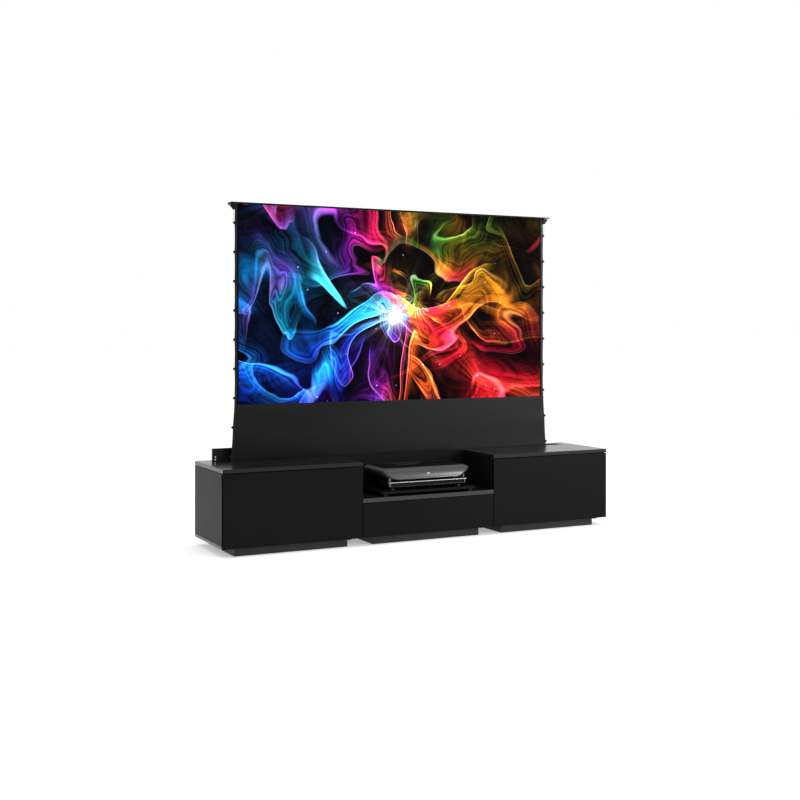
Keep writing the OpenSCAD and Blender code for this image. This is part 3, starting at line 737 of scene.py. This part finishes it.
# Finish, width and steps of the eased edges, and the CAD nodes that get them
FORMS = [
    (front_lacquer, 0.0012, 3, ("left_flap", "right_flap", "drawer_front")),
    (top_lacquer, 0.0012, 3, ("left_top_board", "right_top_board", "rear_top_rail")),
    (body_lacquer, 0.0009, 2, ("left_outer_side", "right_outer_side")),
    (board_lacquer, 0.0009, 2, (
        "left_bottom_board", "middle_bottom_board", "right_bottom_board",
    )),
    (plinth_lacquer, 0.0009, 2, ("left_plinth", "middle_plinth", "right_plinth")),
    (inner_lacquer, 0.0009, 2, (
        "bay_shelf", "tray_board", "inner_sides", "bay_back_wall", "screen_walls",
    )),
    (box_melamine, 0.0008, 2, ("drawer_box",)),
    (texture_black, 0.0006, 2, (
        "cable_grommets", "lens_bezel", "fan_frames", "control_box", "top_bar_wings",
    )),
    (housing_black, 0.0008, 2, ("projector_base_pan", "projector_grille", "projector_rear_panel")),
    (hinge_black, 0.0003, 2, (
        "flap_hinge_leaves", "left_flap_leaves", "right_flap_leaves", "tray_runners",
        "fixed_runners",
    )),
    (zinc, 0.0003, 2, ("drawer_runners",)),
    (zinc_dark, 0.001, 2, ("roller_brackets", "arm_posts")),
    (mill_alloy, 0.0005, 2, ("roller_motor", "light_engine", "heat_sink", "roller_tube")),
    (arm_grey, 0.0015, 2, (
        "left_lower_arm", "left_upper_arm", "right_lower_arm", "right_upper_arm",
    )),
    (bar_black, 0.0008, 2, ("top_bar",)),
    (lens_black, 0.0006, 2, ("lens_barrel",)),
    (bright_trim, 0.0008, 3, ("projector_trim_band",)),
    (nickel, 0.0005, 2, ("power_button",)),
    (mirror_coat, 0.0003, 1, ("projector_mirror",)),
    (window_glass, 0.0004, 2, ("lens_window",)),
    (status_finish, 0.0006, 3, ("status_window",)),
    (board_green, 0.0001, 1, ("main_board",)),
    (foot_rubber, 0.0012, 3, ("projector_feet",)),
    (cloth, 0.0002, 1, ("fabric_roll",)),
]
for material, width, steps, nodes in FORMS:
    for node in nodes:
        eased(node, material, width, steps)


def retint(obj, material, chosen):
    """Gives the faces of obj for which chosen(face) holds a second material."""
    obj.data.materials.append(material)
    for face in obj.data.polygons:
        if chosen(face):
            face.material_index = 1


# A face whose normal has this much of an axis looks along it
SQUARE_ON = 0.9
# The ends of the flaps and the drawer front are painted near black: painted shade of the gaps
# beside them
for name in ("left_flap_eased", "right_flap_eased", "drawer_front_eased"):
    retint(bpy.data.objects[name], joint_black, lambda face: abs(face.normal.x) > SQUARE_ON)
# The shelf's front edge is paler than its top
retint(bpy.data.objects["bay_shelf_eased"], edge_band, lambda face: face.normal.y < -SQUARE_ON)
# The outer end faces of the top and bottom boards take the paler lacquer: a painted highlight
for side, end in ((-1, "left"), (1, "right")):
    for board in ("_top_board_eased", "_bottom_board_eased"):
        obj = bpy.data.objects[end + board]
        retint(obj, side_band, lambda face: side * face.normal.x > SQUARE_ON)


# ---------------------------------------------------------------- screen cloth, hems and tabs

(_, cloth_y0, roller_z), (_, cloth_y1, cloth_top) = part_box("screen_fabric")
CLOTH_Y = (cloth_y0 + cloth_y1) / 2
CLOTH_T = 0.0008
# Half the cloth's width beside the picture and at its foot, between which it widens from SKIRT_Z
# down to DECK_Z, and how far its edges pull in between two clips
HALF_W, FOOT_HALF_W = 1.133, 1.158
SKIRT_Z, DECK_Z = 0.905, 0.491
EDGE_PULL = 0.0014
TAB_PITCH = 0.180
TAB_Z = [0.539 + TAB_PITCH * i for i in range(9)]
# The height of the wings' feet, from which the clips and cords hang.
WING_FOOT = cloth_top - 0.036


def edge_at(z):
    """Half the cloth's width at a height."""
    t = min(max((SKIRT_Z - z) / (SKIRT_Z - DECK_Z), 0.0), 1.0)
    pull = math.sin(math.pi * (z - TAB_Z[0]) / (TAB_Z[1] - TAB_Z[0])) ** 2
    return HALF_W + (FOOT_HALF_W - HALF_W) * t - EDGE_PULL * pull


# The cloth's waves off its plane: scallops between the clips and how far in they reach, one long
# swell, and how far from the bar and the roll both are held down
SCALLOP_HEIGHT = 0.0009
SCALLOP_REACH = 0.12
SWELL_HEIGHT = 0.0004
HELD_REACH = 0.5


def ripple(x, z):
    """How far the cloth stands off its plane: slight waves, none at the bar or the roll."""
    near_edge = math.exp(-(HALF_W - abs(x)) / SCALLOP_REACH)
    free = min((cloth_top - z) / HELD_REACH, (z - roller_z) / HELD_REACH, 1.0) ** 2
    scallop = SCALLOP_HEIGHT * near_edge * math.sin(2 * math.pi * z / TAB_PITCH)
    return (scallop + SWELL_HEIGHT * math.sin(3.1 * x + 1.7 * z)) * free


def folds_with_lift(obj):
    """Gives obj a mesh of its own."""
    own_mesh(obj)


# Columns of points across the picture, and rows below it and beside it
PICTURE_COLUMNS = 97
SKIRT_ROWS, PICTURE_ROWS = 42, 81


def screen_mesh():
    """The cloth as a thin closed skin, and each face's material: 0 in the picture, 2 in the
    border beside it, 1 elsewhere."""
    inner = np.linspace(-PICTURE_HALF, PICTURE_HALF, PICTURE_COLUMNS)
    rows = np.concatenate([
        np.linspace(roller_z, PICTURE_LOW, SKIRT_ROWS)[:-1],
        np.linspace(PICTURE_LOW, cloth_top, PICTURE_ROWS),
    ])
    front = []
    for z in rows:
        edge = edge_at(z)
        xs = [-edge, -(edge + PICTURE_HALF) / 2, *inner, (edge + PICTURE_HALF) / 2, edge]
        front.append([(x, CLOTH_Y + ripple(x, z), z) for x in xs])
    across = len(front[0])
    points = [(x, y - CLOTH_T / 2, z) for row in front for x, y, z in row]
    points += [(x, y + CLOTH_T / 2, z) for row in front for x, y, z in row]
    back = len(rows) * across
    faces, materials = [], []
    for i in range(len(rows) - 1):
        for j in range(across - 1):
            a, b = i * across + j, (i + 1) * across + j
            faces += [[a, a + 1, b + 1, b], [back + a, back + b, back + b + 1, back + a + 1]]
            upper = 0 if 2 <= j < across - 3 else 2
            materials += [upper if rows[i] > PICTURE_LOW - 0.001 else 1, 1]
    rim = list(range(across))
    rim += [i * across + across - 1 for i in range(1, len(rows))]
    rim += [(len(rows) - 1) * across + j for j in range(across - 2, -1, -1)]
    rim += [i * across for i in range(len(rows) - 2, 0, -1)]
    for a, b in zip(rim, rim[1:] + rim[:1]):
        faces.append([b, a, back + a, back + b])
        materials.append(1)
    mesh = bpy.data.meshes.new("screen_cloth")
    mesh.from_pydata(points, [], faces)
    return mesh, materials


cloth_mesh, cloth_materials = screen_mesh()
screen = piece(
    "screen_cloth", cloth_mesh, [lit_cloth, cloth, border_cloth], "console",
    ["screen_fabric"],
)
cloth_mesh.polygons.foreach_set("material_index", cloth_materials)
folds_with_lift(screen)

HEM_WIDTH = 0.016
HEM_PROUD = 0.0004
HEM_HALF_T = 0.0009


def hem(side):
    """The welded tape along one edge, which holds the clips."""
    loops = []
    for z in np.linspace(roller_z, cloth_top, 130):
        edge = edge_at(z)
        inner, outer = side * (edge - HEM_WIDTH), side * (edge + HEM_PROUD)
        y = CLOTH_Y + ripple(edge, z)
        front, rear = y - HEM_HALF_T, y + HEM_HALF_T
        loops.append([(inner, front, z), (outer, front, z), (outer, rear, z), (inner, rear, z)])
    return loft(loops)


hems = piece(
    "edge_hems", mesh_of("edge_hems", [hem(-1), hem(1)]), hem_vinyl, "console"
)
folds_with_lift(hems)

# A clip seen from the front: distance out from the cloth's edge, and height from its middle
TAB_OUTLINE = [
    (-0.010, -0.0090), (0.0020, -0.0090), (0.0050, -0.0078), (0.0088, -0.0046), (0.0107, -0.0020),
    (0.0110, 0.0), (0.0107, 0.0020), (0.0088, 0.0046), (0.0050, 0.0078), (0.0020, 0.0090),
    (-0.010, 0.0090),
]
TAB_HALF_T = 0.0025
RIVET = [(0.0, 0.0022), (0.0004, 0.0022), (0.0007, 0.0014)]


def edge_tab(side, z):
    """A moulded hook with a pointed nose, clamped over the hem, and its rivet."""
    edge = edge_at(z)
    loops = [
        [(side * (edge + x), CLOTH_Y + y, z + dz) for x, dz in TAB_OUTLINE]
        for y in (-TAB_HALF_T, TAB_HALF_T)
    ]
    rivet_at = (side * (edge - 0.005), CLOTH_Y - TAB_HALF_T, z)
    return [loft(loops), turned(RIVET, rivet_at, TO_FRONT, 16)]


tabs = piece(
    "edge_clips",
    mesh_of("edge_clips", [part for side in (-1, 1) for z in TAB_Z for part in edge_tab(side, z)]),
    texture_black, "console", ["edge_tabs"],
)
ease(tabs, 0.0006, 2)
folds_with_lift(tabs)

CORD_X = HALF_W + 0.0085
CORD_RADIUS = 0.0009
cord_heights = np.linspace(TAB_Z[-1], WING_FOOT, 8)
cord_mesh = mesh_of("tension_cords", [
    tube([(side * CORD_X, CLOTH_Y, z) for z in cord_heights], CORD_RADIUS) for side in (-1, 1)
])
cords = piece("tension_cords", cord_mesh, hem_vinyl, "console")
folds_with_lift(cords)


# ---------------------------------------------------------------- projector


def mm_loop(half, y0, y1, r, z):
    """A rounded loop whose sizes are given in millimetres."""
    return [tuple(c * MM for c in p) for p in rounded(half, y0, y1, r, z)]


# Half width, front, back, corner radius and height of the cover's rings, in mm: up the outside,
# over the top to the lens well, and back down the inside
COVER_RINGS = [
    (248.0, -244.8, 71.0, 46, 390.0), (250.5, -246.0, 72.4, 47, 390.8),
    (257.0, -245.6, 73.4, 47, 393.0), (270.0, -242.8, 74.8, 47, 398.0),
    (281.0, -239.8, 76.0, 47, 404.2), (297.0, -236.6, 78.8, 45, 414.5),
    (307.6, -235.2, 81.0, 43, 426.0), (310.6, -236.4, 82.8, 40, 434.0),
    (310.0, -238.6, 83.4, 39, 439.4), (308.2, -240.4, 83.9, 38, 442.3),
    (307.6, -240.6, 84.0, 38, 443.0), (306.4, -239.2, 83.8, 38, 444.2),
    (301.5, -230.0, 82.8, 38, 448.0), (295.6, -222.0, 81.0, 38, 451.4),
    (290.0, -213.0, 79.0, 38, 454.4), (285.0, -206.0, 76.0, 38, 456.4),
    (281.0, -202.0, 73.0, 37, 457.0), (279.6, -200.6, 71.8, 36, 456.8),
    (279.4, -200.4, 71.6, 36, 456.2), (278.4, -199.4, 70.6, 35, 456.2),
    (278.2, -199.2, 70.4, 35, 456.8), (200.0, -115.0, 64.0, 20, 457.0),
    (120.0, -42.0, 62.0, 7, 457.0), (113.0, -35.0, 59.0, 3.4, 456.9),
    (112.4, -34.4, 58.4, 3, 456.4), (112.4, -34.4, 58.4, 3, 454.4),
    (268.0, -184.0, 64.0, 30, 454.2), (287.0, -214.0, 75.0, 35, 452.0),
    (300.0, -230.0, 80.0, 36, 446.0), (306.0, -236.6, 81.6, 37, 442.0),
    (305.0, -232.8, 79.0, 40, 427.0), (278.4, -237.2, 73.6, 44, 404.2),
    (247.4, -242.6, 69.8, 44, 391.6),
]
# The strips between two rings that make the lip round the top, whose paler coat is painted sheen,
# and the glossy panel inside it
LIP = range(11, 16)
GLOSS_PANEL = range(20, 23)
# The room in the cover for the neck: half width, front, back, corner radius, and then its two ends
NECK = (270.5, -230.5, 78.5, 10.5)
NECK_HEIGHTS = (386.0, 412.0)


def cut(mesh, cutter):
    """What is left of mesh when cutter is taken out of it."""
    objects = []
    for m in (mesh, cutter):
        obj = bpy.data.objects.new(m.name, m)
        bpy.context.scene.collection.objects.link(obj)
        objects.append(obj)
    hole = objects[0].modifiers.new("cut", "BOOLEAN")
    hole.object = objects[1]
    hole.operation = "DIFFERENCE"
    hole.solver = "EXACT"
    shaped = objects[0].evaluated_get(bpy.context.evaluated_depsgraph_get())
    result = bpy.data.meshes.new_from_object(shaped)
    for obj in objects:
        bpy.data.objects.remove(obj)
    return result


cover_mesh = mesh_of("cover", [loft([mm_loop(*ring) for ring in COVER_RINGS], closed=True)])
around = len(mm_loop(*COVER_RINGS[0]))
cover_mesh.materials.append(cover_paint)
cover_mesh.materials.append(panel_black)
cover_mesh.materials.append(lip_coat)
strip_material = {**dict.fromkeys(GLOSS_PANEL, 1), **dict.fromkeys(LIP, 2)}
cover_mesh.polygons.foreach_set("material_index", [
    strip_material.get(i // around, 0) for i in range(len(cover_mesh.polygons))
])
neck_mesh = mesh_of("neck_cut", [loft([mm_loop(*NECK, z) for z in NECK_HEIGHTS])])
neck_mesh.materials.append(cover_paint)
piece(
    "projector_cover_shell", cut(cover_mesh, neck_mesh), None, "tray",
    ["projector_top_cover"], 50.0,
)

# A paler bead round the projector's lower housing, a painted highlight on its lower front edge;
# measured as a ring of the cover is
EDGE_HIGHLIGHT_LOOP = (273.2, -240.2, 83.0, 10, 347.2)
EDGE_HIGHLIGHT_RADIUS = 0.0008
edge_highlight_path = mm_loop(*EDGE_HIGHLIGHT_LOOP)
edge_highlight_path.append(edge_highlight_path[0])
edge_highlight_mesh = mesh_of("housing_bead", [tube(edge_highlight_path, EDGE_HIGHLIGHT_RADIUS, 8)])
piece("housing_bead", edge_highlight_mesh, guard_paint, "tray")

# The paler strips at each front corner, painted highlights where the rounded corners catch light:
# the body's half width, front and corner radius there, and the strip's lower and upper end; then
# how far a strip stands proud of the body and is sunk in it
CORNER_HIGHLIGHTS = [(0.273, -0.240, 0.010, 0.3480, 0.3708), (0.270, -0.230, 0.010, 0.3774, 0.3998)]
HIGHLIGHT_PROUD = 0.0007
HIGHLIGHT_SUNK = 0.0010


def highlight_strip(side, half, front, radius, low, high):
    """A thin strip of paler paint round one front corner of the projector's body: a painted
    highlight.
    """
    loops = []
    for z in (low, high):
        outer, inner = [], []
        for i in range(13):
            turn = math.radians(-6 + 102 * i / 12)
            reach = Vector((side * math.sin(turn), -math.cos(turn), 0))
            corner = Vector((side * (half - radius), front + radius, z))
            outer.append(corner + (radius + HIGHLIGHT_PROUD) * reach)
            inner.append(corner + (radius - HIGHLIGHT_SUNK) * reach)
        loops.append(outer + inner[::-1])
    return loft(loops)


highlight_strips = mesh_of("corner_guards", [highlight_strip(side, *size) for side in (-1, 1) for size in CORNER_HIGHLIGHTS])
ease(piece("corner_guards", highlight_strips, guard_paint, "tray"), 0.0003, 2)

FAN_X, FAN_Y, FAN_Z = 0.205, -0.040, 0.386
HUB_PROFILE = [
    (0.0005, 0.002), (0.005, 0.002), (0.005, 0.0125), (0.0056, 0.0138), (0.0205, 0.014),
    (0.0218, 0.0128), (0.022, 0.008), (0.0212, 0.0072),
]
BLADES = 7
# A blade's inner end and length from the axis, and where its middle is along the axis
BLADE_ROOT = 0.0132
BLADE_REACH = 0.0208
BLADE_MIDDLE = 0.0133
# Half the width and thickness of a blade's section, and how far it bows
HALF_CHORD = 0.0085
HALF_THICKNESS = 0.0007
BOW = 0.0016


def fan_rotor(side, name, node):
    """A hub, turning about X, with blades that lean and flatten towards their tips."""
    centre = Vector((side * FAN_X, FAN_Y, FAN_Z))
    parts = [turned(HUB_PROFILE, centre, (side, 0, 0), 40)]
    for blade in range(BLADES):
        loops = []
        for r in np.linspace(BLADE_ROOT, BLADE_ROOT + BLADE_REACH, 6):
            t = (r - BLADE_ROOT) / BLADE_REACH
            lean = blade * 2 * math.pi / BLADES + 0.25 * t * t
            pitch = math.radians(52 - 20 * t)
            loop = []
            for k in range(12):
                a = 2 * math.pi * k / 12
                chord, thick = HALF_CHORD * math.cos(a), HALF_THICKNESS * math.sin(a)
                off_chord = thick + BOW * (1 - (chord / HALF_CHORD) ** 2)
                along = BLADE_MIDDLE + chord * math.sin(pitch) + off_chord * math.cos(pitch)
                sideways = chord * math.cos(pitch) - off_chord * math.sin(pitch)
                turn = lean + sideways / r
                offset = Vector((side * along, r * math.cos(turn), r * math.sin(turn)))
                loop.append(centre + offset)
            loops.append(loop)
        parts.append(loft(loops))
    piece(name, mesh_of(name, parts), texture_black, BODY_OF[node], [node], 50.0)


fan_rotor(-1, "left_fan_blades", "left_fan_rotor")
fan_rotor(1, "right_fan_blades", "right_fan_rotor")

# Metal of the projector's rear sockets: pins of the power inlet, shells and tongues of the two
# video sockets, and collars of the two jacks
PANEL_BACK = 0.084
POWER_PIN = [(0.0, 0.0011), (0.008, 0.0011), (0.0088, 0.0006)]
POWER_PINS_AT = [(-0.1125, 0.0722, 0.3545), (-0.1035, 0.0722, 0.3545)]
SOCKET_LEFTS = (-0.040, -0.014)
SOCKET_WIDTH = 0.015
SOCKET_LOW, SOCKET_HIGH = 0.351, 0.3566
SHELL_FRONT, SHELL_BACK = 0.0742, PANEL_BACK + 0.0004
SHELL_T = 0.0005
TONGUE_INSET = 0.002
TONGUE_BACK = 0.0828
TONGUE_LOW, TONGUE_HIGH = 0.3532, 0.3542
JACK_COLLAR = [(0.0, 0.0040), (0.0007, 0.0037), (0.0007, 0.0021), (-0.006, 0.00176)]
JACKS_AT = [(0.050, PANEL_BACK, 0.354), (0.080, PANEL_BACK, 0.354)]


def video_socket(x0):
    """The four walls of one socket's shell, and its tongue."""
    x1 = x0 + SOCKET_WIDTH
    walls = [
        (x0, SOCKET_LOW, x1, SOCKET_LOW + SHELL_T),
        (x0, SOCKET_HIGH - SHELL_T, x1, SOCKET_HIGH),
        (x0, SOCKET_LOW, x0 + SHELL_T, SOCKET_HIGH),
        (x1 - SHELL_T, SOCKET_LOW, x1, SOCKET_HIGH),
    ]
    parts = [block((xa, SHELL_FRONT, za), (xb, SHELL_BACK, zb)) for xa, za, xb, zb in walls]
    tongue_low = (x0 + TONGUE_INSET, SHELL_FRONT, TONGUE_LOW)
    tongue_high = (x1 - TONGUE_INSET, TONGUE_BACK, TONGUE_HIGH)
    return parts + [block(tongue_low, tongue_high)]


port_parts = [turned(POWER_PIN, at, TO_BACK, 16) for at in POWER_PINS_AT]
for x0 in SOCKET_LEFTS:
    port_parts += video_socket(x0)
port_parts += [turned(JACK_COLLAR, at, TO_BACK, 28) for at in JACKS_AT]
piece("rear_port_metal", mesh_of("rear_ports", port_parts), nickel, "tray")


# ---------------------------------------------------------------- small hardware

box_x0, box_y0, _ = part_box("control_box")[0]
TRIGGER_JACKS = [(box_x0 + 0.014, box_y0 + 0.0003, z) for z in (0.520, 0.537)]
TRIGGER_RING = [
    (0.0, 0.0052), (0.0016, 0.0052), (0.0023, 0.0045), (0.0023, 0.0030), (0.0012, 0.0022),
    (-0.004, 0.0018),
]
rings = mesh_of("jack_rings", [turned(TRIGGER_RING, at, TO_FRONT, 32) for at in TRIGGER_JACKS])
piece("trigger_jack_rings", rings, nickel, "console", (), 30.0)

BOX_SCREW = (-1.150, box_y0, 0.537)
BOX_SCREW_RADIUS = 0.0028
box_screw = mesh_of("box_screw", [screw(BOX_SCREW, TO_FRONT, BOX_SCREW_RADIUS)])
piece("control_box_screw", box_screw, zinc_dark, "console")

bar_x1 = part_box("top_bar")[1].x
WING_PINS = [(side * bar_x1, 0.160, cloth_top - 0.006) for side in (-1, 1)]
PIN_CAP = [
    (-0.001, 0.0056), (0.0002, 0.0056), (0.0006, 0.0050), (0.0006, 0.0020), (0.0001, 0.0014),
]
caps = mesh_of("wing_pin_caps", [turned(PIN_CAP, at, TO_FRONT, 28) for at in WING_PINS])
piece("wing_pin_caps", caps, guard_paint, "top_bar", (), 30.0)

# The rubber flaps of an outlet's diaphragm: how many, half their thickness, how near they come to
# the middle, half the slit between two, and how far they reach into the outlet's rim
FLAPS = 8
FLAP_HALF_T = 0.0004
FLAP_TIP = 0.0012
HALF_SLIT = 0.00012
FLAP_HELD = 0.0003


def diaphragm(centre, radius):
    """Split rubber flaps that close a cable outlet and give way to a cable."""
    cx, cy, cz = centre
    sector = 2 * math.pi / FLAPS
    parts = []
    for flap in range(FLAPS):
        outline = []
        for r, turns in ((radius, np.linspace(0.0, 1.0, 7)), (FLAP_TIP, np.linspace(1.0, 0.0, 3))):
            slit = HALF_SLIT / r
            for t in turns:
                a = sector * flap + slit + t * (sector - 2 * slit)
                outline.append((cx + r * math.cos(a), cz + r * math.sin(a)))
        front, rear = cy - FLAP_HALF_T, cy + FLAP_HALF_T
        parts.append(loft([[(x, y, z) for x, z in outline] for y in (front, rear)]))
    return parts


outlets = [mount for mount in record["mounts"] if mount["name"].endswith("cable_outlet")]
outlet_parts = []
for mount in outlets:
    outlet_parts += diaphragm(mount["pos_m"], mount["dims"]["r_mm"] * MM + FLAP_HELD)
diaphragms = mesh_of("outlet_diaphragms", outlet_parts)
piece("outlet_diaphragms", diaphragms, foot_rubber, "console")

# The back panel's countersunk screws, by X and Z
back_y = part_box("back_panel")[1].y
SCREW_SPOTS = [(x, z) for x in np.linspace(-1.30, 1.30, 9) for z in (0.085, 0.474)]
SCREW_SPOTS += [(x, 0.28) for x in (-1.31, -0.463, 0.463, 1.31)]
COUNTERSINK = [(-0.0032, 0.0016), (0.0006, 0.0054)]
SCREW_RADIUS = 0.0040
SCREW_SUNK = 0.0028
sinks = mesh_of("screw_sinks", [
    turned(COUNTERSINK, (x, back_y, z), TO_BACK, 28) for x, z in SCREW_SPOTS
])
back = piece(
    "back_panel_countersunk", cut(cad_mesh("back_panel"), sinks), body_lacquer, "console",
    ["back_panel"], 25.0,
)
back.modifiers.new("normals", "WEIGHTED_NORMAL").keep_sharp = True
back_screws = mesh_of("back_panel_screws", [
    screw((x, back_y - SCREW_SUNK, z), TO_BACK, SCREW_RADIUS) for x, z in SCREW_SPOTS
])
piece("back_panel_screws", back_screws, zinc_dark, "console")
